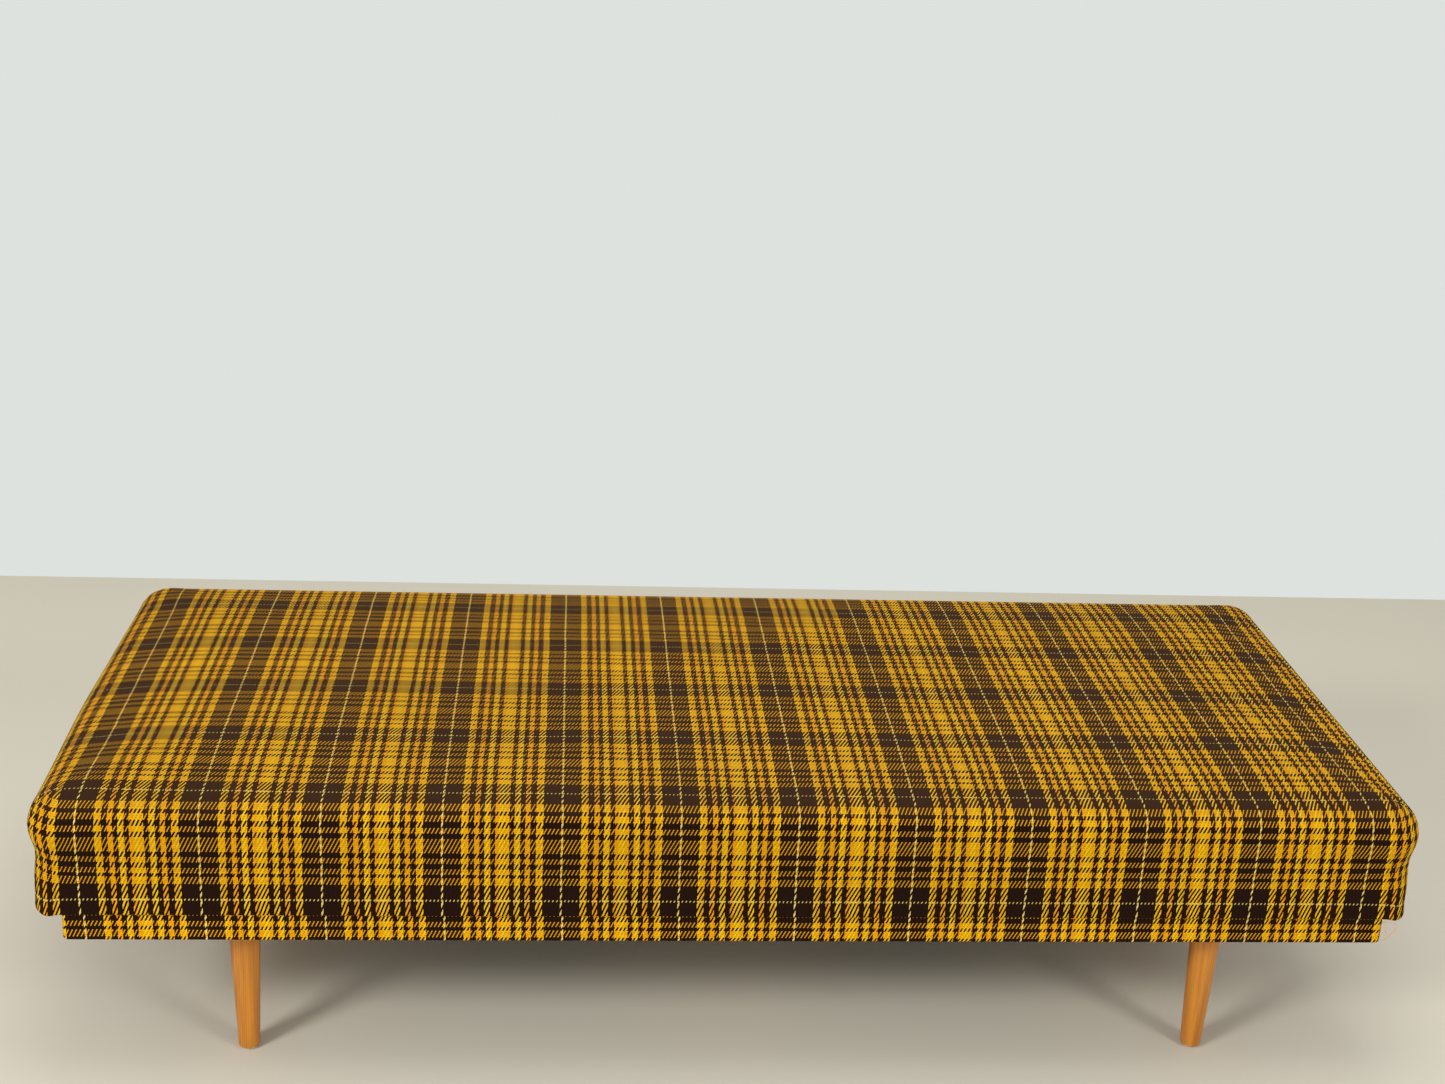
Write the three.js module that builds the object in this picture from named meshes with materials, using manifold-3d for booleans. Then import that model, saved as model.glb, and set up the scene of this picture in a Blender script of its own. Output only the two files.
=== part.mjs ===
// A daybed of the 1960s or 1970s: an upholstered, spring-filled mattress slab that lies loose on a low
// fabric-covered base frame with four tapered, screw-in beech legs.
//
// Units are millimetres. X runs along the length, -Y is the front, +Z is up, and the origin is on the floor
// under the middle of the daybed. Each physical piece is one named mesh.
import * as THREE from "three";
import { mergeVertices } from "three/addons/utils/BufferGeometryUtils.js";
import Module from "manifold-3d";

const wasm = await Module();
wasm.setup();

// ---------------------------------------------------------------- driving dimensions
const CLEARANCE = 0.3; // between pieces that rest on, or fit into, each other

const MATTRESS_LENGTH = 1900;
const MATTRESS_DEPTH = 806;
const MATTRESS_EDGE_HEIGHT = 158; // from its underside to the top of its rounded edge
const MATTRESS_CROWN = 7; // how much higher the middle of the top is than its edge
const CROWN_WIDTH = 240; // from the rounded edge in to the flat middle of the top
const TOP_EDGE_RADIUS = 28;
const BOTTOM_EDGE_RADIUS = 14;
const UPRIGHT_CORNER_RADIUS = 45;

const BASE_END_SETBACK = 38; // how far the mattress overhangs the base at each end
const BASE_SIDE_SETBACK = 2; // and along the front and back
const BASE_RAIL_HEIGHT = 40;
const BASE_RAIL_THICKNESS = 24;
const BASE_COVER_THICKNESS = 1.5;

const BOARD_THICKNESS = 22;
const LEG_BOARD_WIDTH = 110;
const MIDDLE_BOARD_WIDTH = 80;
const CORNER_BLOCK_SIDE = 60;
const CORNER_BLOCK_HEIGHT = 22;
const STOP_BLOCK_SIDE = 40;
const STOP_BLOCK_HEIGHT = 16;
const STOP_BLOCK_PLAY = 2; // between a stop block and the rails it drops between

const LEG_LENGTH = 206;
const LEG_TOP_DIAMETER = 45;
const LEG_FOOT_DIAMETER = 30;
const LEG_FOOT_ROUNDING = 3;
const LEG_INSET_X = 229.5; // from the base's end in to the leg's axis
const LEG_INSET_Y = 64; // from the base's front or back face in to the leg's axis

const GLIDE_DIAMETER = 23;
const GLIDE_THICKNESS = 2.5;
const GLIDE_PIN_DIAMETER = 3;
const GLIDE_PIN_LENGTH = 14;

const BOLT_DIAMETER = 10;
const BOLT_DEPTH_IN_LEG = 35;
const BOLT_CHAMFER = 1;
const NUT_BARREL_DIAMETER = 13;
const NUT_BARREL_LENGTH = 13;
const NUT_FLANGE_DIAMETER = 28;
const NUT_FLANGE_THICKNESS = 1.8;

const COVER_THICKNESS = 2; // the plaid cover, and the black cloth that closes it underneath
const COVER_TURN_UNDER = 42; // width of the plaid stapled under the mattress frame
const PAD_RAIL_WIDTH = 80;
const PAD_RAIL_THICKNESS = 24;
const SLAT_COUNT = 9;
const SLAT_WIDTH = 80;
const SLAT_THICKNESS = 12;
const INSULATOR_THICKNESS = 6;

const SPRING_COLUMNS = 10;
const SPRING_ROWS = 5;
const SPRING_HEIGHT = 80;
const SPRING_END_RADIUS = 40;
const SPRING_WAIST_RADIUS = 24;
const SPRING_TURNS = 3;
const SPRING_WIRE_RADIUS = 2;
const BORDER_WIRE_RADIUS = 2.5;
const SPRING_UNIT_MARGIN = 14; // from the outside of the mattress frame in to the border wire

const TURNED_SEGMENTS = 20;
const SMALL_SEGMENTS = 12;
const CORNER_SEGMENTS = 5;
const HELIX_STEPS_PER_TURN = 6;

// ---------------------------------------------------------------- levels and places that follow
const legBottom = GLIDE_THICKNESS + CLEARANCE;
const legTop = legBottom + LEG_LENGTH;
const baseBottom = legTop + CLEARANCE;
const railBottom = baseBottom + BASE_COVER_THICKNESS + CLEARANCE;
const railTop = railBottom + BASE_RAIL_HEIGHT;
const baseTop = railTop + CLEARANCE + BASE_COVER_THICKNESS;
const boardTop = baseBottom + BOARD_THICKNESS;
const mattressBottom = baseTop + CLEARANCE;
const mattressEdgeTop = mattressBottom + MATTRESS_EDGE_HEIGHT;

const baseHalfX = MATTRESS_LENGTH / 2 - BASE_END_SETBACK;
const baseHalfY = MATTRESS_DEPTH / 2 - BASE_SIDE_SETBACK;
const railOuterX = baseHalfX - BASE_COVER_THICKNESS - CLEARANCE;
const railOuterY = baseHalfY - BASE_COVER_THICKNESS - CLEARANCE;
const railInnerX = railOuterX - BASE_RAIL_THICKNESS;
const railInnerY = railOuterY - BASE_RAIL_THICKNESS;
const legX = baseHalfX - LEG_INSET_X;
const legY = baseHalfY - LEG_INSET_Y;

const coverInset = COVER_THICKNESS + CLEARANCE;
// The square corners of the pad's frame just fit inside the rounded corners of the cover.
const coverCornerRadius = UPRIGHT_CORNER_RADIUS - coverInset - BOTTOM_EDGE_RADIUS;
const padInset = UPRIGHT_CORNER_RADIUS - coverCornerRadius / Math.SQRT2;
const borderThickness = padInset - coverInset - CLEARANCE;
const padOuterX = MATTRESS_LENGTH / 2 - padInset;
const padOuterY = MATTRESS_DEPTH / 2 - padInset;
const padRailBottom = mattressBottom + coverInset;
const padRailTop = padRailBottom + PAD_RAIL_THICKNESS;
const slatBottom = padRailTop + CLEARANCE;
const springBottom = slatBottom + SLAT_THICKNESS + CLEARANCE;
const springTop = springBottom + SPRING_HEIGHT;
const insulatorBottom = springTop + CLEARANCE;
const paddingBottom = insulatorBottom + INSULATOR_THICKNESS + CLEARANCE;

const CORNERS = [
  ["front_left", -1, -1],
  ["front_right", 1, -1],
  ["back_left", -1, 1],
  ["back_right", 1, 1],
];

// ---------------------------------------------------------------- materials
function material(colour, roughness, metalness = 0) {
  return new THREE.MeshStandardMaterial({ color: colour, roughness, metalness });
}
const beech = material(0xc07a2c, 0.45);
const softwood = material(0xd8b98a, 0.7);
const plaid = material(0x8a5a1c, 0.95);
const wadding = material(0xe4dcc8, 0.95);
const blackCloth = material(0x2a2826, 0.95);
const zincSteel = material(0xb8bcc0, 0.35, 1);
const springSteel = material(0x6f7276, 0.4, 1);
const nylon = material(0xd9d4c8, 0.5);

// ---------------------------------------------------------------- building helpers
const daybed = new THREE.Group();

function add(name, geometry, finish, x = 0, y = 0, z = 0) {
  const mesh = new THREE.Mesh(geometry, finish);
  mesh.name = name;
  mesh.position.set(x, y, z);
  daybed.add(mesh);
  return mesh;
}

// A rectangular block whose underside is at z = 0.
function block(sizeX, sizeY, sizeZ) {
  return new THREE.BoxGeometry(sizeX, sizeY, sizeZ).translate(0, 0, sizeZ / 2);
}

// A turned piece from [radius, height] pairs that start and end on the axis, listed from the bottom up.
function turned(profile, segments = TURNED_SEGMENTS) {
  const points = profile.map(([radius, height]) => new THREE.Vector2(radius, height));
  return new THREE.LatheGeometry(points, segments).rotateX(Math.PI / 2);
}

// A flat outline extruded upwards from z = 0.
function plate(shape, thickness) {
  return new THREE.ExtrudeGeometry(shape, {
    depth: thickness,
    bevelEnabled: false,
    curveSegments: SMALL_SEGMENTS,
  });
}

// A shape through [x, y] points.
function outline(points) {
  return new THREE.Shape(points.map(([x, y]) => new THREE.Vector2(x, y)));
}

// The points of a rectangle with rounded corners, anticlockwise from above.
function roundedRectangle(halfX, halfY, radius) {
  const points = [];
  const centres = [[1, 1], [-1, 1], [-1, -1], [1, -1]];
  centres.forEach(([signX, signY], corner) => {
    for (let i = 0; i <= CORNER_SEGMENTS; i++) {
      const angle = (Math.PI / 2) * (corner + i / CORNER_SEGMENTS);
      points.push([
        signX * (halfX - radius) + radius * Math.cos(angle),
        signY * (halfY - radius) + radius * Math.sin(angle),
      ]);
    }
  });
  return points;
}

// A closed body through a stack of rings, each { z, points }, from the bottom up.
function lofted(rings) {
  const count = rings[0].points.length;
  const positions = rings.flatMap((ring) => ring.points.flatMap(([x, y]) => [x, y, ring.z]));
  const index = [];
  for (let level = 0; level + 1 < rings.length; level++) {
    for (let i = 0; i < count; i++) {
      const a = level * count + i;
      const b = level * count + ((i + 1) % count);
      index.push(a, b, b + count, a, b + count, a + count);
    }
  }
  const top = (rings.length - 1) * count;
  for (let i = 1; i + 1 < count; i++) {
    index.push(0, i + 1, i);
    index.push(top, top + i, top + i + 1);
  }
  const geometry = new THREE.BufferGeometry();
  geometry.setAttribute("position", new THREE.Float32BufferAttribute(positions, 3));
  geometry.setIndex(index);
  return geometry;
}

// The mattress's outside shape taken in by an inset on every side: a slab with upright rounded corners,
// a rounded top edge, a crowned top and a flat middle. bottom is the height of its underside.
function mattressShape(inset, bottom, bottomRadius) {
  const halfX = MATTRESS_LENGTH / 2 - inset;
  const halfY = MATTRESS_DEPTH / 2 - inset;
  const edgeTop = mattressEdgeTop - inset;
  const edgeRadius = TOP_EDGE_RADIUS - inset;
  const ring = (takenIn, z) => {
    const radius = Math.max(UPRIGHT_CORNER_RADIUS - inset - takenIn, 1);
    return { z, points: roundedRectangle(halfX - takenIn, halfY - takenIn, radius) };
  };
  const rings = [];
  if (bottomRadius > 0) {
    rings.push(ring(bottomRadius, bottom), ring(bottomRadius * 0.3, bottom + bottomRadius * 0.3));
  }
  rings.push(ring(0, bottom + bottomRadius));
  for (let i = 0; i <= CORNER_SEGMENTS; i++) {
    const angle = (Math.PI / 2) * (i / CORNER_SEGMENTS);
    rings.push(ring(edgeRadius * (1 - Math.cos(angle)), edgeTop - edgeRadius * (1 - Math.sin(angle))));
  }
  rings.push(ring(edgeRadius + CROWN_WIDTH * 0.4, edgeTop + MATTRESS_CROWN * 0.72));
  rings.push(ring(edgeRadius + CROWN_WIDTH, edgeTop + MATTRESS_CROWN));
  return lofted(rings);
}

// A round wire along a list of points, with flat ends.
function wire(points, radius, sides) {
  const path = new THREE.CurvePath();
  for (let i = 0; i + 1 < points.length; i++) {
    path.add(new THREE.LineCurve3(points[i], points[i + 1]));
  }
  const section = [];
  for (let i = 0; i < sides; i++) {
    const angle = (2 * Math.PI * i) / sides;
    section.push([radius * Math.cos(angle), radius * Math.sin(angle)]);
  }
  return new THREE.ExtrudeGeometry(outline(section), {
    steps: points.length - 1,
    extrudePath: path,
    bevelEnabled: false,
  });
}

// A geometry as a manifold-3d solid, and back.
function toSolid(geometry) {
  const bare = geometry.index ? geometry.toNonIndexed() : geometry;
  const positions = new THREE.BufferGeometry().setAttribute("position", bare.getAttribute("position"));
  const merged = mergeVertices(positions, 1e-3);
  return new wasm.Manifold(
    new wasm.Mesh({
      numProp: 3,
      vertProperties: merged.attributes.position.array,
      triVerts: new Uint32Array(merged.index.array),
    }),
  );
}

function toGeometry(solid) {
  const mesh = solid.getMesh();
  const geometry = new THREE.BufferGeometry();
  geometry.setAttribute("position", new THREE.BufferAttribute(mesh.vertProperties, 3));
  geometry.setIndex(new THREE.BufferAttribute(mesh.triVerts, 1));
  return geometry;
}

// ---------------------------------------------------------------- legs
function addLeg(corner, signX, signY) {
  const x = signX * legX;
  const y = signY * legY;
  const footRadius = LEG_FOOT_DIAMETER / 2;
  const boltHole = BOLT_DIAMETER / 2 + CLEARANCE;
  const pinHole = GLIDE_PIN_DIAMETER / 2 + CLEARANCE;
  const rounding = [];
  for (let i = 0; i <= 2; i++) {
    const angle = (Math.PI / 4) * i;
    rounding.push([
      footRadius - LEG_FOOT_ROUNDING * (1 - Math.sin(angle)),
      LEG_FOOT_ROUNDING * (1 - Math.cos(angle)),
    ]);
  }
  const leg = turned([
    [0, GLIDE_PIN_LENGTH],
    [pinHole, GLIDE_PIN_LENGTH],
    [pinHole, 0],
    ...rounding,
    [LEG_TOP_DIAMETER / 2, LEG_LENGTH],
    [boltHole, LEG_LENGTH],
    [boltHole, LEG_LENGTH - BOLT_DEPTH_IN_LEG - CLEARANCE],
    [0, LEG_LENGTH - BOLT_DEPTH_IN_LEG - CLEARANCE],
  ]);
  add(`leg_${corner}`, leg, beech, x, y, legBottom);

  const glide = turned([
    [0, 0],
    [GLIDE_DIAMETER / 2 - 1, 0],
    [GLIDE_DIAMETER / 2, 1],
    [GLIDE_DIAMETER / 2, GLIDE_THICKNESS],
    [GLIDE_PIN_DIAMETER / 2, GLIDE_THICKNESS],
    [GLIDE_PIN_DIAMETER / 2, GLIDE_THICKNESS + GLIDE_PIN_LENGTH - 2],
    [0, GLIDE_THICKNESS + GLIDE_PIN_LENGTH],
  ], SMALL_SEGMENTS);
  add(`leg_glide_${corner}`, glide, nylon, x, y, 0);

  const boltLength = BOLT_DEPTH_IN_LEG + CLEARANCE + BOARD_THICKNESS;
  const boltRadius = BOLT_DIAMETER / 2;
  const bolt = turned([
    [0, 0],
    [boltRadius - BOLT_CHAMFER, 0],
    [boltRadius, BOLT_CHAMFER],
    [boltRadius, boltLength - BOLT_CHAMFER],
    [boltRadius - BOLT_CHAMFER, boltLength],
    [0, boltLength],
  ], SMALL_SEGMENTS);
  add(`leg_bolt_${corner}`, bolt, zincSteel, x, y, legTop - BOLT_DEPTH_IN_LEG);

  const nutBore = BOLT_DIAMETER / 2 + CLEARANCE;
  const nut = turned([
    [nutBore, 0],
    [NUT_BARREL_DIAMETER / 2, 0],
    [NUT_BARREL_DIAMETER / 2, NUT_BARREL_LENGTH],
    [NUT_FLANGE_DIAMETER / 2, NUT_BARREL_LENGTH],
    [NUT_FLANGE_DIAMETER / 2, NUT_BARREL_LENGTH + NUT_FLANGE_THICKNESS],
    [nutBore, NUT_BARREL_LENGTH + NUT_FLANGE_THICKNESS],
    [nutBore, 0],
  ], SMALL_SEGMENTS);
  add(`leg_nut_${corner}`, nut, zincSteel, x, y, boardTop + CLEARANCE - NUT_BARREL_LENGTH);
}

// ---------------------------------------------------------------- base frame
function addBaseRails() {
  const railLength = 2 * railOuterX;
  for (const [side, sign] of [["front", -1], ["back", 1]]) {
    const y = sign * (railOuterY - BASE_RAIL_THICKNESS / 2);
    const rail = block(railLength, BASE_RAIL_THICKNESS, BASE_RAIL_HEIGHT);
    add(`base_rail_${side}`, rail, softwood, 0, y, railBottom);
  }
  const endLength = 2 * (railInnerY - CLEARANCE);
  for (const [side, sign] of [["left", -1], ["right", 1]]) {
    const x = sign * (railOuterX - BASE_RAIL_THICKNESS / 2);
    const rail = block(BASE_RAIL_THICKNESS, endLength, BASE_RAIL_HEIGHT);
    add(`base_rail_${side}`, rail, softwood, x, 0, railBottom);
  }
}

// A board across the base between the long rails, with a hole at each of the given [x, y] places.
function crossBoard(width, holes) {
  const halfLength = railInnerY - CLEARANCE;
  const shape = outline([
    [-width / 2, -halfLength],
    [width / 2, -halfLength],
    [width / 2, halfLength],
    [-width / 2, halfLength],
  ]);
  for (const [x, y] of holes) {
    const radius = NUT_BARREL_DIAMETER / 2 + CLEARANCE;
    shape.holes.push(new THREE.Path().absarc(x, y, radius, 0, 2 * Math.PI, true));
  }
  return plate(shape, BOARD_THICKNESS);
}

function addBoards() {
  const holes = [[0, -legY], [0, legY]];
  add("leg_board_left", crossBoard(LEG_BOARD_WIDTH, holes), softwood, -legX, 0, baseBottom);
  add("leg_board_right", crossBoard(LEG_BOARD_WIDTH, holes), softwood, legX, 0, baseBottom);
  add("middle_board", crossBoard(MIDDLE_BOARD_WIDTH, []), softwood, 0, 0, baseBottom);
}

// A triangular glue block in the inside corner of the base frame.
function addCornerBlock(corner, signX, signY) {
  const x = signX * (railInnerX - CLEARANCE);
  const y = signY * (railInnerY - CLEARANCE);
  const shape = outline([[0, 0], [-signX * CORNER_BLOCK_SIDE, 0], [0, -signY * CORNER_BLOCK_SIDE]]);
  add(`corner_block_${corner}`, plate(shape, CORNER_BLOCK_HEIGHT), softwood, x, y, railBottom);
}

// The section of the fabric round a rail: outside face at 0, open towards +x, with its underside at 0.
function coverSection() {
  const height = baseTop - baseBottom;
  const reach = BASE_COVER_THICKNESS + CLEARANCE + BASE_RAIL_THICKNESS;
  const t = BASE_COVER_THICKNESS;
  return outline([
    [0, 0],
    [reach, 0],
    [reach, t],
    [t, t],
    [t, height - t],
    [reach, height - t],
    [reach, height],
    [0, height],
  ]);
}

// The section stands upright and is swept along the rail, first along -Y, then turned to its side.
function coverStrip(length, turn) {
  const strip = plate(coverSection(), length).translate(0, 0, -length / 2);
  return strip.rotateX(Math.PI / 2).rotateZ(turn);
}

function addBaseCovers() {
  const endLength = 2 * (railInnerY - CLEARANCE);
  const front = coverStrip(2 * baseHalfX, Math.PI / 2);
  const back = coverStrip(2 * baseHalfX, -Math.PI / 2);
  const left = coverStrip(endLength, 0);
  const right = coverStrip(endLength, Math.PI);
  add("base_cover_front", front, plaid, 0, -baseHalfY, baseBottom);
  add("base_cover_back", back, plaid, 0, baseHalfY, baseBottom);
  add("base_cover_left", left, plaid, -baseHalfX, 0, baseBottom);
  add("base_cover_right", right, plaid, baseHalfX, 0, baseBottom);
}

// ---------------------------------------------------------------- mattress
function addPadFrame() {
  const railLength = 2 * padOuterX;
  for (const [side, sign] of [["front", -1], ["back", 1]]) {
    const y = sign * (padOuterY - PAD_RAIL_WIDTH / 2);
    const rail = block(railLength, PAD_RAIL_WIDTH, PAD_RAIL_THICKNESS);
    add(`pad_rail_${side}`, rail, softwood, 0, y, padRailBottom);
  }
  const endLength = 2 * (padOuterY - PAD_RAIL_WIDTH - CLEARANCE);
  for (const [side, sign] of [["left", -1], ["right", 1]]) {
    const x = sign * (padOuterX - PAD_RAIL_WIDTH / 2);
    const rail = block(PAD_RAIL_WIDTH, endLength, PAD_RAIL_THICKNESS);
    add(`pad_rail_${side}`, rail, softwood, x, 0, padRailBottom);
  }
}

function addSlats() {
  const pitch = (2 * padOuterX - SLAT_WIDTH) / (SLAT_COUNT - 1);
  for (let i = 0; i < SLAT_COUNT; i++) {
    const x = (i - (SLAT_COUNT - 1) / 2) * pitch;
    const slat = block(SLAT_WIDTH, 2 * padOuterY, SLAT_THICKNESS);
    add(`pad_slat_${i + 1}`, slat, softwood, x, 0, slatBottom);
  }
}

// One hourglass coil, centred on x, y, from the lower to the upper lacing wires.
function coil(x, y, lowZ, highZ) {
  const steps = SPRING_TURNS * HELIX_STEPS_PER_TURN;
  const points = [];
  for (let i = 0; i <= steps; i++) {
    const share = i / steps;
    const waist = Math.sin(Math.PI * share) ** 2;
    const radius = SPRING_END_RADIUS + (SPRING_WAIST_RADIUS - SPRING_END_RADIUS) * waist;
    const angle = 2 * Math.PI * SPRING_TURNS * share;
    points.push(new THREE.Vector3(
      x + radius * Math.cos(angle),
      y + radius * Math.sin(angle),
      lowZ + (highZ - lowZ) * share,
    ));
  }
  return wire(points, SPRING_WIRE_RADIUS, 3);
}

// A rectangle of border wire with its outside at halfX, halfY, centred on height z.
function borderWire(halfX, halfY, z) {
  const width = 2 * BORDER_WIRE_RADIUS;
  const shape = outline([[-halfX, -halfY], [halfX, -halfY], [halfX, halfY], [-halfX, halfY]]);
  const innerX = halfX - width;
  const innerY = halfY - width;
  shape.holes.push(outline([[-innerX, -innerY], [-innerX, innerY], [innerX, innerY], [innerX, -innerY]]));
  return plate(shape, width).translate(0, 0, z - BORDER_WIRE_RADIUS);
}

// The spring unit: rows of coils laced together on wires between two border wires, as one assembly.
function addSpringUnit() {
  const halfX = padOuterX - SPRING_UNIT_MARGIN;
  const halfY = padOuterY - SPRING_UNIT_MARGIN;
  const lowZ = springBottom + BORDER_WIRE_RADIUS;
  const highZ = springTop - BORDER_WIRE_RADIUS;
  const pitchX = (2 * halfX) / SPRING_COLUMNS;
  const pitchY = (2 * halfY) / SPRING_ROWS;
  const pieces = [borderWire(halfX, halfY, lowZ), borderWire(halfX, halfY, highZ)];
  for (let row = 0; row < SPRING_ROWS; row++) {
    const y = (row - (SPRING_ROWS - 1) / 2) * pitchY;
    for (const z of [lowZ, highZ]) {
      const width = 2 * SPRING_WIRE_RADIUS;
      const lacing = new THREE.BoxGeometry(2 * (halfX - BORDER_WIRE_RADIUS), width, width);
      pieces.push(lacing.translate(0, y, z));
    }
    for (let column = 0; column < SPRING_COLUMNS; column++) {
      const x = (column - (SPRING_COLUMNS - 1) / 2) * pitchX;
      pieces.push(coil(x, y, lowZ, highZ));
    }
  }
  const unit = wasm.Manifold.union(pieces.map(toSolid));
  add("spring_unit", toGeometry(unit), springSteel);
}

function addPadding() {
  const insulator = block(2 * padOuterX, 2 * padOuterY, INSULATOR_THICKNESS);
  add("spring_insulator", insulator, wadding, 0, 0, insulatorBottom);

  const slab = toSolid(mattressShape(coverInset, springBottom, 0));
  add("top_padding", toGeometry(slab.trimByPlane([0, 0, 1], paddingBottom)), wadding);
}

// The wadding round the sides of the mattress: four strips, mitred at the corners.
function addBorderWadding() {
  const outerX = MATTRESS_LENGTH / 2 - coverInset;
  const outerY = MATTRESS_DEPTH / 2 - coverInset;
  const innerX = outerX - borderThickness;
  const innerY = outerY - borderThickness;
  const ring = outline(roundedRectangle(outerX, outerY, UPRIGHT_CORNER_RADIUS - coverInset));
  ring.holes.push(outline([[-innerX, -innerY], [-innerX, innerY], [innerX, innerY], [innerX, -innerY]]));
  const bottom = padRailBottom + BOTTOM_EDGE_RADIUS;
  const height = springTop - bottom;
  const solidRing = toSolid(plate(ring, height));

  const gap = CLEARANCE / Math.SQRT2;
  const endX = outerX - gap;
  const ridgeX = outerX - outerY;
  const endY = outerY - gap;
  const longWedge = [[-endX, -outerY], [endX, -outerY], [ridgeX - gap, 0], [gap - ridgeX, 0]];
  const endWedge = [[-outerX, -endY], [-ridgeX - gap, 0], [-outerX, endY]];
  for (const [side, wedge, turn] of [
    ["front", longWedge, 0],
    ["back", longWedge, Math.PI],
    ["left", endWedge, 0],
    ["right", endWedge, Math.PI],
  ]) {
    const strip = solidRing.intersect(toSolid(plate(outline(wedge), height).rotateZ(turn)));
    add(`border_wadding_${side}`, toGeometry(strip), wadding, 0, 0, bottom);
  }
}

function addMattressCover() {
  const outside = toSolid(mattressShape(0, mattressBottom, BOTTOM_EDGE_RADIUS));
  const innerBottomRadius = BOTTOM_EDGE_RADIUS - COVER_THICKNESS;
  const inside = toSolid(mattressShape(COVER_THICKNESS, mattressBottom + COVER_THICKNESS, innerBottomRadius));
  const openX = MATTRESS_LENGTH - 2 * COVER_TURN_UNDER;
  const openY = MATTRESS_DEPTH - 2 * COVER_TURN_UNDER;
  const opening = new THREE.BoxGeometry(openX, openY, 4 * COVER_THICKNESS).translate(0, 0, mattressBottom);
  const cover = outside.subtract(inside).subtract(toSolid(opening));
  add("mattress_cover", toGeometry(cover), plaid);

  const dustX = openX - 2 * CLEARANCE;
  const dustY = openY - 2 * CLEARANCE;
  add("dust_cover", block(dustX, dustY, COVER_THICKNESS), blackCloth, 0, 0, mattressBottom);
}

// A block under the mattress that drops inside a corner of the base and keeps the mattress from sliding.
function addStopBlock(corner, signX, signY) {
  const x = signX * (railInnerX - STOP_BLOCK_PLAY - STOP_BLOCK_SIDE / 2);
  const y = signY * (railInnerY - STOP_BLOCK_PLAY - STOP_BLOCK_SIDE / 2);
  const z = mattressBottom - CLEARANCE - STOP_BLOCK_HEIGHT;
  add(`stop_block_${corner}`, block(STOP_BLOCK_SIDE, STOP_BLOCK_SIDE, STOP_BLOCK_HEIGHT), softwood, x, y, z);
}

// ---------------------------------------------------------------- assembly
addBaseRails();
addBoards();
addBaseCovers();
addPadFrame();
addSlats();
addSpringUnit();
addPadding();
addBorderWadding();
addMattressCover();
for (const [corner, signX, signY] of CORNERS) {
  addLeg(corner, signX, signY);
  addCornerBlock(corner, signX, signY);
  addStopBlock(corner, signX, signY);
}

export default daybed;
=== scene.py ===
"""The look of a plaid-covered daybed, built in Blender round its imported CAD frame.

Units are metres in the frame of the CAD model: +X along the length, -Y to the front, +Z up, floor at z = 0.
"""
import math

import bmesh
import bpy
import numpy as np
from mathutils import Matrix, Vector


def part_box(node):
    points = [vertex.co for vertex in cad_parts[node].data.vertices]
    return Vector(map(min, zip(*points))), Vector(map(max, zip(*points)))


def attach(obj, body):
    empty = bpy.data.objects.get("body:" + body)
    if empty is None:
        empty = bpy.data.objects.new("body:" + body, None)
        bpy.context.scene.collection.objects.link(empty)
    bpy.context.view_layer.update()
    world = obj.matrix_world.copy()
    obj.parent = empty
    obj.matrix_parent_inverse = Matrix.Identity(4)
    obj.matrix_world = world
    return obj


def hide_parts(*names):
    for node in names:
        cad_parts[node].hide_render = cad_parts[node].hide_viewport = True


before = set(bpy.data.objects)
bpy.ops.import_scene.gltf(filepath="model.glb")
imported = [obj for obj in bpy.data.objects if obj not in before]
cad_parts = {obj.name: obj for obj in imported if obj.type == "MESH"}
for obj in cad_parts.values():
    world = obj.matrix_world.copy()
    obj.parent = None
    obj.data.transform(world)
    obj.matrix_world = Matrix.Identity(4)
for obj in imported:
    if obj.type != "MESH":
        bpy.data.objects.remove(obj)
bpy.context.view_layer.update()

# ---------------------------------------------------------------- sizes of the looks
WARP_PITCH = 0.160 / 120  # one warp thread; the plaid repeats every 120 of them along X
WEFT_PITCH = 0.1645 / 61  # one weft thread; the plaid repeats every 61 of them across the bed
WIDE_STRIPE_X = -0.0059  # middle of the wide gold stripe nearest to the middle of the bed
DOTTED_WEFT_Y = -0.0330  # the dotted weft line nearest to the middle of the top

PLAN_RADIUS = 0.045  # of the mattress's upright corners
EDGE_RADIUS = 0.028  # of its top edge
HEM_RADIUS = 0.007  # of its bottom edge
EDGE_ROLL = 0.0085  # how far the roll of the top edge stands proud at the corners
ROLL_DROP = 0.046  # from the top down to the middle of that roll
END_BULGE = {-1: 0.011, 1: 0.002}  # how far the middle of each end swells
END_DROOP = 0.0125  # how far the cover hangs past the base's ends
HEM_DROOP = 0.0060  # how far it hangs in front of the base
CROWN = 0.007  # how far the middle of the top stands above its edge
CLOTH_CELL = 0.0125  # of the cover's grid
CLOTH_THICKNESS = 0.0014
CLOTH_CAP = 0.006  # the furthest that the cloth simulation may move a point
CLOTH_SHARE = 0.6  # how much of that movement is kept
CLOTH_FRAMES = 20
DENT_DEPTH = 0.0002  # how far the cover may lie inside its rest shape

BASE_CORNER = 0.007  # radius of the base's upright corners
BASE_HEM = 0.004  # radius of its cloth's turns over and under the rail
BASE_REACH = 0.0255  # how far the cloth goes in over the rail
BASE_CELL = 0.012  # of its grid
BASE_THICKNESS = 0.0012
BASE_DROP = 5.2  # how many weft threads the base's cloth is set lower than the mattress's

FLOOR_SIZE = 7.0  # to each side and to the front
FLOOR_END = 1.475  # how far back the floor goes

# ---------------------------------------------------------------- small helpers


def srgb(r, g, b):
    """A linear colour from sRGB numbers out of 255."""
    out = []
    for c in (r, g, b):
        c = c / 255.0
        out.append(c / 12.92 if c <= 0.04045 else ((c + 0.055) / 1.055) ** 2.4)
    return (*out, 1.0)


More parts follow.
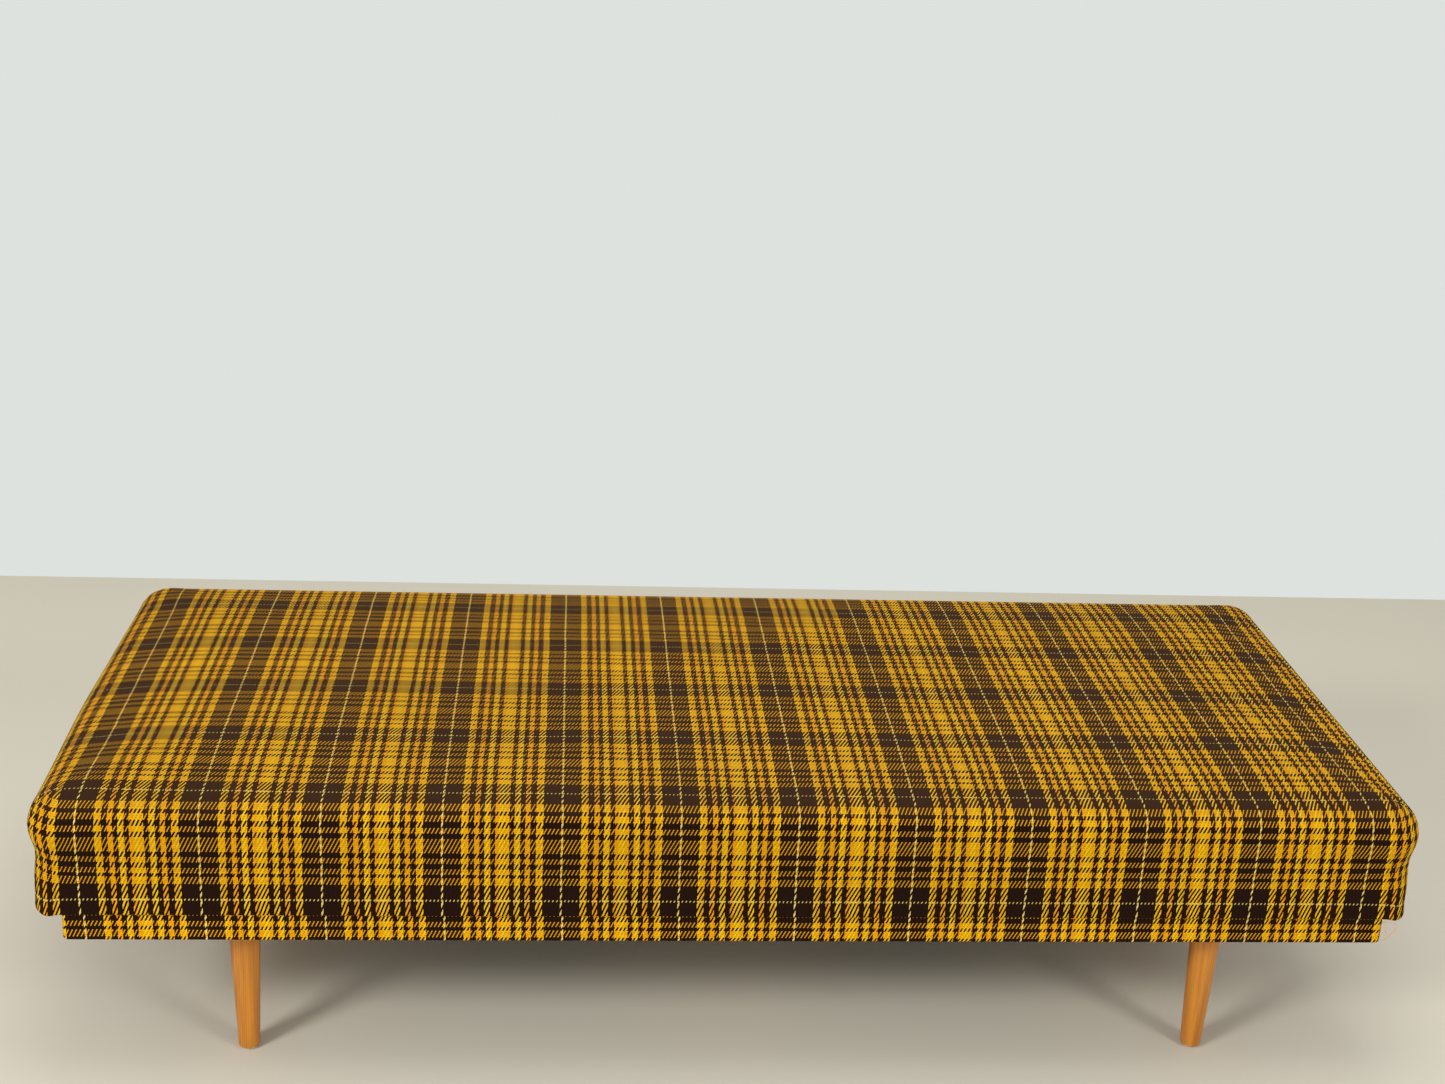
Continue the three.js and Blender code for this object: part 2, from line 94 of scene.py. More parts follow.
def link(obj):
    bpy.context.scene.collection.objects.link(obj)
    return obj


def apply_modifiers(obj):
    """Bakes an object's modifiers into its mesh."""
    deps = bpy.context.evaluated_depsgraph_get()
    deps.update()
    mesh = bpy.data.meshes.new_from_object(obj.evaluated_get(deps), preserve_all_data_layers=True, depsgraph=deps)
    obj.modifiers.clear()
    old = obj.data
    obj.data = mesh
    bpy.data.meshes.remove(old)


def read_points(mesh):
    points = np.empty(len(mesh.vertices) * 3)
    mesh.vertices.foreach_get("co", points)
    return points.reshape(-1, 3)


def shade_smooth(mesh):
    for polygon in mesh.polygons:
        polygon.use_smooth = True


def thicken(obj, thickness):
    """Adds a modifier that gives a sheet its thickness on the inside."""
    solid = obj.modifiers.new("thickness", "SOLIDIFY")
    solid.thickness = thickness
    solid.offset = -1.0


class Nodes:
    """Builds a material's node tree with short calls."""

    def __init__(self, name):
        self.material = bpy.data.materials.new(name)
        self.material.use_nodes = True
        self.tree = self.material.node_tree
        self.tree.nodes.clear()
        self.out = self.tree.nodes.new("ShaderNodeOutputMaterial")
        self.bsdf = self.tree.nodes.new("ShaderNodeBsdfPrincipled")
        self.tree.links.new(self.bsdf.outputs[0], self.out.inputs["Surface"])

    def put(self, socket, value):
        """Links a socket to another one, or sets its value."""
        if isinstance(value, bpy.types.NodeSocket):
            self.tree.links.new(value, socket)
        else:
            socket.default_value = value

    def set(self, **values):
        """Sets inputs of the surface by name, with _ for a space."""
        for name, value in values.items():
            self.put(self.bsdf.inputs[name.replace("_", " ")], value)

    def math(self, op, a, b=0.0):
        node = self.tree.nodes.new("ShaderNodeMath")
        node.operation = op
        self.put(node.inputs[0], a)
        self.put(node.inputs[1], b)
        return node.outputs[0]

    def mix(self, factor, a, b, blend="MIX"):
        node = self.tree.nodes.new("ShaderNodeMix")
        node.data_type = "RGBA"
        node.blend_type = blend
        self.put(node.inputs[0], factor)
        self.put(node.inputs[6], a)
        self.put(node.inputs[7], b)
        return node.outputs[2]

    def noise(self, vector, scale, detail=2.0, rough=0.5):
        node = self.tree.nodes.new("ShaderNodeTexNoise")
        self.put(node.inputs["Vector"], vector)
        node.inputs["Scale"].default_value = scale
        node.inputs["Detail"].default_value = detail
        node.inputs["Roughness"].default_value = rough
        return node.outputs["Fac"]

    def scaled(self, vector, scale):
        node = self.tree.nodes.new("ShaderNodeVectorMath")
        node.operation = "MULTIPLY"
        self.put(node.inputs[0], vector)
        node.inputs[1].default_value = scale
        return node.outputs[0]

    def position(self):
        return self.tree.nodes.new("ShaderNodeTexCoord").outputs["Object"]

    def remap(self, value, low, high, to_low=0.0, to_high=1.0):
        node = self.tree.nodes.new("ShaderNodeMapRange")
        self.put(node.inputs[0], value)
        for i, number in enumerate((low, high, to_low, to_high), start=1):
            node.inputs[i].default_value = number
        return node.outputs[0]

    def ramp(self, value, stops):
        """Steps of flat colour from (position, colour) stops."""
        node = self.tree.nodes.new("ShaderNodeValToRGB")
        node.color_ramp.interpolation = "CONSTANT"
        elements = node.color_ramp.elements
        while len(elements) > 1:
            elements.remove(elements[-1])
        elements[0].position, elements[0].color = stops[0]
        for position, colour in stops[1:]:
            elements.new(position).color = colour
        self.put(node.inputs[0], value)
        return node.outputs[0]

    def bump(self, height, distance, strength):
        node = self.tree.nodes.new("ShaderNodeBump")
        self.put(node.inputs["Height"], height)
        node.inputs["Distance"].default_value = distance
        node.inputs["Strength"].default_value = strength
        return node.outputs[0]

    def split(self, vector):
        """The X, Y and Z of a vector."""
        node = self.tree.nodes.new("ShaderNodeSeparateXYZ")
        self.put(node.inputs[0], vector)
        return node.outputs

    def grey(self, value):
        node = self.tree.nodes.new("ShaderNodeCombineColor")
        for socket in node.inputs[:3]:
            self.put(socket, value)
        return node.outputs[0]


# ---------------------------------------------------------------- camera
def add_camera():
    position = Vector((-0.2485, -2.757, 1.656))
    yaw, pitch, roll = (math.radians(a) for a in (4.843, 19.972, 2.722))
    ahead = Vector((math.sin(yaw) * math.cos(pitch), math.cos(yaw) * math.cos(pitch), -math.sin(pitch)))
    side = Vector((math.cos(yaw), -math.sin(yaw), 0))
    above = side.cross(ahead)
    right = side * math.cos(roll) + above * math.sin(roll)
    up = above * math.cos(roll) - side * math.sin(roll)
    data = bpy.data.cameras.new("camera")
    data.sensor_width = 36.0
    data.lens = 49.08
    data.clip_start = 0.05
    data.clip_end = 100
    camera = link(bpy.data.objects.new("camera", data))
    turn = Matrix((right, up, -ahead)).transposed()
    camera.matrix_world = Matrix.Translation(position) @ turn.to_4x4()
    bpy.context.scene.camera = camera


# ---------------------------------------------------------------- the plaid
# Thread colours of one repeat, in order, as (number of threads, colour name).
WARP = [
    (2, "cream"), (18, "brown"), (2, "lemon"), (5, "gold"), (6, "brown"), (5, "amber"), (5, "brown"),
    (4, "lemon"), (2, "gold"), (5, "brown"), (4, "amber"), (6, "lemon"), (4, "gold"), (5, "brown"),
    (2, "gold"), (4, "lemon"), (5, "brown"), (5, "amber"), (6, "brown"), (5, "gold"), (2, "lemon"), (18, "brown"),
]
WEFT = [
    (1, "cream"), (8, "brown"), (4, "gold"), (2, "brown"), (3, "gold"), (3, "brown"), (3, "gold"), (3, "brown"),
    (8, "gold"), (3, "brown"), (3, "gold"), (3, "brown"), (3, "gold"), (2, "brown"), (4, "gold"), (8, "brown"),
]
YARN = {
    "brown": srgb(36, 15, 6),
    "gold": srgb(255, 187, 12),
    "amber": srgb(254, 171, 6),
    "lemon": srgb(255, 208, 26),
    "cream": srgb(244, 220, 122),
}


def sett_stops(sett):
    total = sum(count for count, _ in sett)
    stops, start = [], 0
    for count, name in sett:
        stops.append((start / total, YARN[name]))
        start += count
    return stops


def plaid_material(name, wear_seed, painted_light_gain=1.0):
    """A twill woven from the two setts, read from the mesh's UV map "fabric", which is in metres."""
    n = Nodes(name)
    uv_node = n.tree.nodes.new("ShaderNodeUVMap")
    uv_node.uv_map = "fabric"
    uv = uv_node.outputs[0]
    cloth_x, cloth_y, _ = n.split(uv)
    warp_count = sum(count for count, _ in WARP)
    weft_count = sum(count for count, _ in WEFT)
    half_wide = warp_count / 2 - 1
    # Both are counted in threads, from the first thread of each sett.
    u = n.math("ADD", n.math("DIVIDE", cloth_x, WARP_PITCH), half_wide + 2.0 - WIDE_STRIPE_X / WARP_PITCH)
    v = n.math("ADD", n.math("DIVIDE", cloth_y, WEFT_PITCH), 0.5 - DOTTED_WEFT_Y / WEFT_PITCH)
    # Threads wander a little from the straight.
    wobble = n.noise(uv, 9.0, 3.0)
    fine = n.noise(uv, 60.0, 2.0)
    drift = n.math("ADD", n.math("MULTIPLY", wobble, 1.6), n.math("MULTIPLY", fine, 0.7))
    u = n.math("ADD", u, n.math("SUBTRACT", drift, 1.15))
    thread_u = n.math("FLOOR", u)
    thread_v = n.math("FLOOR", v)

    def thread_colour(thread, count, sett):
        middle = n.math("ADD", n.math("FLOORED_MODULO", thread, count), 0.5)
        return n.ramp(n.math("DIVIDE", middle, count), sett_stops(sett))

    warp = thread_colour(thread_u, warp_count, WARP)
    weft = thread_colour(thread_v, weft_count, WEFT)
    # The brown yarn is the plumper one, so it covers more of each repeat of the twill than the gold.
    tones = n.tree.nodes.new("ShaderNodeSeparateColor")
    n.put(tones.inputs[0], warp)
    facing = n.split(n.tree.nodes.new("ShaderNodeNewGeometry").outputs["Normal"])
    upwards = n.remap(facing[2], 0.35, 0.9)
    # Painted shade: on faces turned up the gold warp covers less of the twill, so the golds of the top come out
    # darker.
    cover = n.math("SUBTRACT", n.math("ADD", 0.72, n.math("MULTIPLY", upwards, 0.01)),
                   n.math("MULTIPLY", tones.outputs[0], n.math("ADD", 0.24, n.math("MULTIPLY", upwards, 0.11))))
    part_u = n.math("SUBTRACT", n.math("FRACT", u), 0.5)
    part_v = n.math("SUBTRACT", n.math("FRACT", v), 0.5)
    run_u = n.math("ADD", thread_u, n.math("MULTIPLY", part_u, 0.75))
    run_v = n.math("ADD", thread_v, n.math("MULTIPLY", part_v, 0.85))
    diagonal = n.math("FRACT", n.math("DIVIDE", n.math("SUBTRACT", run_u, run_v), 4.0))
    warp_up = n.math("LESS_THAN", diagonal, cover)
    # Each thread is round: its height falls off to both sides.
    round_u, round_v = (n.math("SUBTRACT", 1.0, n.math("MULTIPLY", n.math("MULTIPLY", part, part), 3.2))
                        for part in (part_u, part_v))
    height = n.math("ADD", n.math("MULTIPLY", warp_up, round_u),
                    n.math("MULTIPLY", n.math("SUBTRACT", 1.0, warp_up), n.math("MULTIPLY", round_v, 0.8)))
    # The weft lies deeper in the cloth, in the shade of the warp.
    weft = n.mix(1.0, weft, (0.84, 0.81, 0.81, 1.0), "MULTIPLY")
    colour = n.mix(warp_up, weft, warp)
    # Yarn to yarn variation, a slow change over the whole cloth, and painted shade in the grooves between
    # threads.
    cell = n.tree.nodes.new("ShaderNodeCombineXYZ")
    n.put(cell.inputs[0], n.math("MULTIPLY", thread_u, warp_up))
    n.put(cell.inputs[1], n.math("MULTIPLY", thread_v, n.math("SUBTRACT", 1.0, warp_up)))
    cell.inputs[2].default_value = wear_seed
    white = n.tree.nodes.new("ShaderNodeTexWhiteNoise")
    white.noise_dimensions = "3D"
    n.put(white.inputs["Vector"], cell.outputs[0])
    # Painted light: a gain above 1 draws a brighter copy of the same cloth.
    yarn = n.remap(white.outputs["Value"], 0.0, 1.0, 0.86 * painted_light_gain, 1.08 * painted_light_gain)
    fibres = n.remap(n.noise(n.scaled(uv, (1.0, 0.35, 1.0)), 2600.0, 2.0), 0.3, 0.7, 0.86, 1.1)
    patches = n.remap(n.noise(uv, 3.2, 4.0), 0.3, 0.7, 0.92, 1.04)
    # Painted shade: the colour darkens where each round thread falls off into the groove beside it.
    painted_groove_shade = n.remap(height, 0.2, 0.95, 0.42, 1.0)
    shade = n.math("MULTIPLY", n.math("MULTIPLY", yarn, fibres), n.math("MULTIPLY", patches, painted_groove_shade))
    colour = n.mix(1.0, colour, n.grey(shade), "MULTIPLY")
    # Painted sheen and shade: faces turned up are toned towards a dull mid brown, which lifts the browns and
    # dulls the golds.
    colour = n.mix(n.math("MULTIPLY", upwards, 0.14), colour, srgb(110, 76, 46))
    # Fine lint gives the dark yarns a slight haze.
    lint = n.remap(n.noise(uv, 900.0, 3.0, 0.7), 0.55, 0.8, 0.0, 0.06)
    colour = n.mix(lint, colour, srgb(140, 100, 60))
    n.set(Base_Color=colour, Roughness=0.85)
    n.bsdf.inputs["Specular IOR Level"].default_value = 0.08
    n.bsdf.inputs["Sheen Weight"].default_value = 0.06
    n.bsdf.inputs["Sheen Roughness"].default_value = 0.4
    n.bsdf.inputs["Sheen Tint"].default_value = srgb(240, 170, 70)
    slub = n.noise(uv, 420.0, 2.0)
    relief = n.math("ADD", height, n.math("MULTIPLY", slub, 0.5))
    n.put(n.bsdf.inputs["Normal"], n.bump(relief, 0.0006, 0.7))
    return n.material


# ---------------------------------------------------------------- the mattress cover
def mattress_profile(low, top):
    """Points (outwards, z, length along the cloth) from the top of a corner's axis down and under the side."""
    flat = PLAN_RADIUS - EDGE_RADIUS
    points = [(0.0, top), (flat, top)]
    edge_steps, side_steps, hem_steps = 6, 10, 4
    for i in range(1, edge_steps + 1):
        angle = math.pi / 2 * i / edge_steps
        points.append((flat + EDGE_RADIUS * math.sin(angle), top - EDGE_RADIUS * (1 - math.cos(angle))))
    side_top = top - EDGE_RADIUS
    side_low = low + HEM_RADIUS
    for i in range(1, side_steps + 1):
        points.append((PLAN_RADIUS, side_top + (side_low - side_top) * i / side_steps))
    for i in range(1, hem_steps + 1):
        angle = math.pi / 2 * i / hem_steps
        points.append((PLAN_RADIUS - HEM_RADIUS * (1 - math.cos(angle)), side_low - HEM_RADIUS * math.sin(angle)))
    # The cloth turns under and in.
    for inset in (0.022, 0.031, 0.041):
        points.append((PLAN_RADIUS - inset, low))
    out, run = [], 0.0
    for i, (d, z) in enumerate(points):
        if i:
            run += math.hypot(d - points[i - 1][0], z - points[i - 1][1])
        out.append((d, z, run))
    return out


def mattress_grid():
    """The rest shape of the cover as an open shell, with the cloth's own coordinates in a UV map."""
    low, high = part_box("mattress_cover")
    half_x = (high[0] - low[0]) / 2
    half_y = (high[1] - low[1]) / 2
    top = high[2] - CROWN
    profile = mattress_profile(low[2], top)
    in_x = half_x - PLAN_RADIUS
    in_y = half_y - PLAN_RADIUS
    nx = round(2 * in_x / CLOTH_CELL)
    ny = round(2 * in_y / CLOTH_CELL)
    xs = [in_x * (2 * i / nx - 1) for i in range(nx + 1)]
    ys = [in_y * (2 * j / ny - 1) for j in range(ny + 1)]

    def crowned(x, y, z):
        flat_edge, rise = 0.01, 0.25
        edge = min(half_x - abs(x), half_y - abs(y))
        share = min(max((edge - flat_edge) / rise, 0.0), 1.0)
        return z + CROWN * (1 - (1 - share) ** 2)

    verts, faces, uvs = [], [], []

    def quad(points, cloth):
        start = len(verts)
        verts.extend(points)
        faces.append(tuple(range(start, start + len(points))))
        uvs.extend(cloth)

    for i in range(nx):
        for j in range(ny):
            corners = [(xs[i], ys[j]), (xs[i + 1], ys[j]), (xs[i + 1], ys[j + 1]), (xs[i], ys[j + 1])]
            quad([(x, y, crowned(x, y, top)) for x, y in corners], corners)

    def strip(along, place, cloth):
        for i in range(len(along) - 1):
            for k in range(len(profile) - 1):
                ring = [(along[i], k), (along[i], k + 1), (along[i + 1], k + 1), (along[i + 1], k)]
                quad([place(a, *profile[k][:2]) for a, k in ring], [cloth(a, profile[k][2]) for a, k in ring])

    def at(x, y, z):
        return (x, y, crowned(x, y, z) if z > top - 1e-6 else z)

    strip(xs, lambda a, d, z: at(a, -in_y - d, z), lambda a, s: (a, -in_y - s))
    strip(xs[::-1], lambda a, d, z: at(a, in_y + d, z), lambda a, s: (a, in_y + s))
    strip(ys[::-1], lambda a, d, z: at(-in_x - d, a, z), lambda a, s: (-in_x - s, a))
    strip(ys, lambda a, d, z: at(in_x + d, a, z), lambda a, s: (in_x + s, a))

    steps = 8
    tuck = 0.75  # where on the way round the corner the front's cloth meets the end's
    for sx in (-1, 1):
        for sy in (-1, 1):
            for t in range(steps):
                for k in range(len(profile) - 1):
                    ring = [(t, k), (t, k + 1), (t + 1, k + 1), (t + 1, k)]
                    if k == 0:
                        ring = [(t, 0), (t, 1), (t + 1, 1)]
                    if sx * sy > 0:
                        ring = ring[::-1]
                    points, cloth = [], []
                    for tt, kk in ring:
                        d, z, s = profile[kk]
                        angle = math.pi / 2 * tt / steps
                        points.append(at(sx * (in_x + d * math.sin(angle)), sy * (in_y + d * math.cos(angle)), z))
                        # The front and back cloth turns the corner, and the end's cloth meets it at a tuck.
                        if t < steps * tuck:
                            cloth.append((sx * (in_x + d * angle), sy * (in_y + s)))
                        else:
                            cloth.append((sx * (in_x + s), sy * (in_y + d * (math.pi / 2 - angle))))
                    quad(points, cloth)
    mesh = bpy.data.meshes.new("mattress_fabric")
    mesh.from_pydata(verts, [], faces)
    layer = mesh.uv_layers.new(name="fabric")
    layer.data.foreach_set("uv", np.array(uvs, dtype=np.float32).ravel())
    bm = bmesh.new()
    bm.from_mesh(mesh)
    bmesh.ops.remove_doubles(bm, verts=bm.verts, dist=1e-5)
    bmesh.ops.recalc_face_normals(bm, faces=bm.faces)
    bm.to_mesh(mesh)
    bm.free()
    return mesh, (half_x, half_y, low[2], top)


def smooth_step(x, low, high):
    t = np.clip((x - low) / (high - low), 0.0, 1.0)
    return t * t * (3 - 2 * t)


def waves(x, y, seed, scale, count=14):
    """A smooth, seeded sum of sines between about -1 and 1."""
    source = np.random.default_rng(seed)
    total = np.zeros_like(x)
    for _ in range(count):
        angle = source.uniform(0, math.pi)
        length = scale * source.uniform(0.6, 1.8)
        phase = source.uniform(0, 2 * math.pi)
        total += np.sin(2 * math.pi * (x * math.cos(angle) + y * math.sin(angle)) / length + phase)
    return total / math.sqrt(count) / 1.6


def shape_mattress(co, dims):
    """The given part of the shape: rolled edge, corner tucks and shallow hollows."""
    half_x, half_y, low, top = dims
    x, y, z = co[:, 0].copy(), co[:, 1].copy(), co[:, 2].copy()
    in_x, in_y = half_x - PLAN_RADIUS, half_y - PLAN_RADIUS
    dx = np.maximum(np.abs(x) - in_x, 0) * np.sign(x)
    dy = np.maximum(np.abs(y) - in_y, 0) * np.sign(y)
    out = np.hypot(dx, dy)
    ux = np.divide(dx, out, out=np.zeros_like(dx), where=out > 1e-6)
    uy = np.divide(dy, out, out=np.zeros_like(dy), where=out > 1e-6)
    side = smooth_step(out, 0.012, 0.04)
    corner_reach, roll_height, bulge_height = 0.085, 0.026, 0.060
    from_corner = np.maximum(half_x - np.abs(x), 0) ** 2 + np.maximum(half_y - np.abs(y), 0) ** 2
    corner = np.exp(-from_corner / corner_reach ** 2)
    roll = np.exp(-((z - (top - ROLL_DROP)) / roll_height) ** 2) * side
    push = roll * (0.0015 + EDGE_ROLL * corner)
    swell = np.where(x > 0, END_BULGE[1], END_BULGE[-1]) * np.clip(1 - (y / half_y) ** 2, 0.0, 1.0)
    push += side * swell * np.abs(ux) * np.exp(-((z - (top - ROLL_DROP)) / bulge_height) ** 2)
    # A shallow tuck under the roll at each corner, at its own height.
    for sx, sy, tuck in ((-1, -1, 0.075), (1, -1, 0.068), (-1, 1, 0.071), (1, 1, 0.074)):
        here = corner * (np.sign(x) == sx) * (np.sign(y) == sy)
        push -= side * here * 0.0030 * np.exp(-((z - (top - tuck - 0.010)) / 0.010) ** 2)
        push += side * here * 0.0050 * np.exp(-((z - (low + 0.034)) / 0.030) ** 2)
    along = np.where(np.abs(ux) > np.abs(uy), y, x)
    push += side * 0.0012 * (1 + waves(along, z * 2.0, 11, 0.35))
    lift = (1 - side) * (0.0012 * (waves(x, y, 5, 0.55) + 0.6) + 0.0005 * waves(x, y, 6, 0.16))
    # The top sinks slightly to the ends, and its corners stand up a little.
    lift += 0.0015 * corner
    # The lower edge hangs a little in front of the base, and further where nothing is under it.
    free = smooth_step(np.abs(x), 0.915, 0.930)
    outermost = smooth_step(out, PLAN_RADIUS - 0.0034, PLAN_RADIUS - 0.0016)
    hem = outermost * (1 - smooth_step(z, low + 0.006, low + 0.024))
    push += 0.0025 * hem
    sag = END_DROOP * free * (1 - smooth_step(z, low + 0.004, low + 0.045)) + HEM_DROOP * hem * (1 - free)
    co[:, 0] += ux * push
    co[:, 1] += uy * push
    co[:, 2] += np.where(z > low + 0.05, lift, 0.0) - sag
    return co


def simulate_cloth(obj, dims):
    """Lets the cover swell over its padding, with its underside held, and keeps each point near its place."""
    scene = bpy.context.scene
    rest = read_points(obj.data)
    low = dims[2]
    held = obj.vertex_groups.new(name="held")
    fixed = [i for i in range(len(rest)) if rest[i, 2] < low + 0.004]
    held.add(fixed, 1.0, "REPLACE")
    modifier = obj.modifiers.new("cloth", "CLOTH")
    settings = modifier.settings
    settings.quality = 4
    settings.mass = 0.5
    settings.tension_stiffness = 25
    settings.compression_stiffness = 25
    settings.shear_stiffness = 12
    settings.bending_stiffness = 2.5
    settings.use_pressure = True
    settings.uniform_pressure_force = 4.0
    settings.vertex_group_mass = "held"
    settings.effector_weights.gravity = 0.0
    modifier.collision_settings.use_collision = False
    modifier.point_cache.frame_start = 1
    modifier.point_cache.frame_end = CLOTH_FRAMES
    for number in range(1, CLOTH_FRAMES + 1):
        scene.frame_set(number)
    apply_modifiers(obj)
    scene.frame_set(1)
    step = read_points(obj.data) - rest
    size = np.linalg.norm(step, axis=1, keepdims=True)
    limit = CLOTH_CAP * np.tanh(size / CLOTH_CAP)
    step = np.divide(step, size, out=np.zeros_like(step), where=size > 1e-9) * limit
    obj.vertex_groups.clear()
    return rest, step


def add_mattress_cover():
    mesh, dims = mattress_grid()
    obj = link(bpy.data.objects.new("mattress_fabric", mesh))
    normals = np.empty(len(mesh.vertices) * 3)
    mesh.vertex_normals.foreach_get("vector", normals)
    normals = normals.reshape(-1, 3)
    rest, step = simulate_cloth(obj, dims)
    shaped = shape_mattress(rest.copy(), dims)
    half_x, half_y, low, _ = dims
    # The padding behind the cloth never lets it fall inside its own outline.
    final = shaped + step * CLOTH_SHARE
    inwards = np.minimum(np.sum((final - rest) * normals, axis=1, keepdims=True) + DENT_DEPTH, 0.0)
    padded_part = (rest[:, 2:3] > low + 0.02).astype(float)
    final -= inwards * normals * padded_part
    for axis, half in ((0, half_x), (1, half_y)):
        edge = np.abs(rest[:, axis]) > half - 0.002
        furthest = np.maximum(np.abs(final[edge, axis]), np.abs(rest[edge, axis]))
        final[edge, axis] = np.sign(rest[edge, axis]) * furthest
    obj.data.vertices.foreach_set("co", final.ravel())
    obj.data.update()
    shade_smooth(obj.data)
    thicken(obj, CLOTH_THICKNESS)
    subdivision = obj.modifiers.new("smooth", "SUBSURF")
    subdivision.levels = 1
    subdivision.render_levels = 1
    subdivision.boundary_smooth = "PRESERVE_CORNERS"
    apply_modifiers(obj)
    shade_smooth(obj.data)
    obj.data.materials.clear()
    obj.data.materials.append(plaid_material("plaid_mattress", 1.0))
    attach(obj, "mattress")
    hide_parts("mattress_cover")


# ---------------------------------------------------------------- the base's cloth
def base_cloth_u(x):
    """The base's cloth was stapled by hand, so its stripes drift a little against the mattress's."""
    return x - 0.002 + 0.0025 * x / 0.9


def add_base_cloth(drop):
    """One band of cloth wrapped round the base, with rounded corners that are folded over the rails."""
    low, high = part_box("base_cover_front")
    half_x = high[0]
    half_y = -low[1]
    bottom, top = low[2], high[2]
    hem, rows, turn_steps, corner_steps = BASE_HEM, 7, 4, 3
    # The section from the inner edge on top, over the rail, down, and in underneath: (outwards, z).
    section = [(-BASE_REACH, top), (-BASE_REACH * 0.5, top), (-hem, top)]
    for i in range(1, turn_steps):
        a = math.pi / 2 * i / turn_steps
        section.append((-hem + hem * math.sin(a), top - hem * (1 - math.cos(a))))
    for i in range(rows + 1):
        section.append((0.0, top - hem - (top - bottom - 2 * hem) * i / rows))
    for i in range(1, turn_steps):
        a = math.pi / 2 * i / turn_steps
        section.append((-hem * (1 - math.cos(a)), bottom + hem * (1 - math.sin(a))))
    section += [(-hem, bottom), (-BASE_REACH * 0.5, bottom), (-BASE_REACH, bottom)]
    lengths = [0.0]
    for a, b in zip(section, section[1:]):
        lengths.append(lengths[-1] + math.hypot(b[0] - a[0], b[1] - a[1]))
    bottom_length = lengths[section.index((-hem, bottom))]

    def outline(sx, sy):
        """Points (x, y, outward normal, cloth u) along one side, with half of each corner."""
        facing = sy or sx
        length, depth = (half_x, half_y) if sy else (half_y, half_x)
        straight = length - BASE_CORNER
        n = round(2 * straight / BASE_CELL)
        points = []

        def turn(end, steps):
            for i in steps:
                a = math.pi / 4 * i / corner_steps
                points.append((end * (straight + BASE_CORNER * math.sin(a)),
                               facing * (depth - BASE_CORNER + BASE_CORNER * math.cos(a)),
                               end * math.sin(a), facing * math.cos(a), end * (straight + BASE_CORNER * a)))

        turn(-1, range(corner_steps, 0, -1))
        for i in range(n + 1):
            along = -straight + 2 * straight * i / n
            points.append((along, facing * depth, 0.0, float(facing), along))
        turn(1, range(1, corner_steps + 1))
        return points if sy else [(y, x, ny, nx, u) for x, y, nx, ny, u in points]

    for name, sx, sy in (("front", 0, -1), ("back", 0, 1), ("left", -1, 0), ("right", 1, 0)):
        ring = outline(sx, sy)
        count, rows_total = len(ring), len(section)
        verts, uvs = [], []
        for x, y, nx, ny, along in ring:
            for (out, z), run in zip(section, lengths):
                # Inner edges run straight along the rail and stop short of the neighbour's.
                px, py = x + nx * out, y + ny * out
                if out < -BASE_CORNER:
                    if sy:
                        py = sy * (half_y + out)
                        px = max(min(x, half_x + out), -half_x - out)
                    else:
                        px = sx * (half_x + out)
                        py = max(min(y, half_y + out), -half_y - out)
                # The upright face is a little uneven.
                wave = 0.0004 * math.sin(along * 23.0 + sx + 2 * sy) + 0.0003 * math.sin(along * 61.0 + z * 90.0)
                if -0.001 < out <= 0.0:
                    px += nx * (0.0004 + wave)
                    py += ny * (0.0004 + wave)
                verts.append((px, py, z))
                around = along if sy else sx * (half_x + half_y + along)
                uvs.append((base_cloth_u(around), drop + bottom_length - run))
        faces = []
        for i in range(count - 1):
            for k in range(rows_total - 1):
                a = i * rows_total + k
                faces.append((a, a + 1, a + rows_total + 1, a + rows_total))
        mesh = bpy.data.meshes.new("base_cloth_" + name)
        mesh.from_pydata(verts, [], faces)
        layer = mesh.uv_layers.new(name="fabric")
        for loop in mesh.loops:
            layer.data[loop.index].uv = uvs[loop.vertex_index]
        bm = bmesh.new()
        bm.from_mesh(mesh)
        bmesh.ops.dissolve_degenerate(bm, dist=1e-6, edges=bm.edges)
        outward = Vector((sx, sy, 0))
        face = max(bm.faces, key=lambda f: f.calc_center_median().dot(outward))
        if face.normal.dot(outward) < 0:
            bmesh.ops.reverse_faces(bm, faces=bm.faces)
        bm.to_mesh(mesh)
        bm.free()
        obj = link(bpy.data.objects.new("base_cloth_" + name, mesh))
        shade_smooth(mesh)
        thicken(obj, BASE_THICKNESS)
        apply_modifiers(obj)
        shade_smooth(obj.data)
        obj.data.materials.clear()
        obj.data.materials.append(plaid_base)
        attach(obj, "base")
        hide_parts("base_cover_" + name)


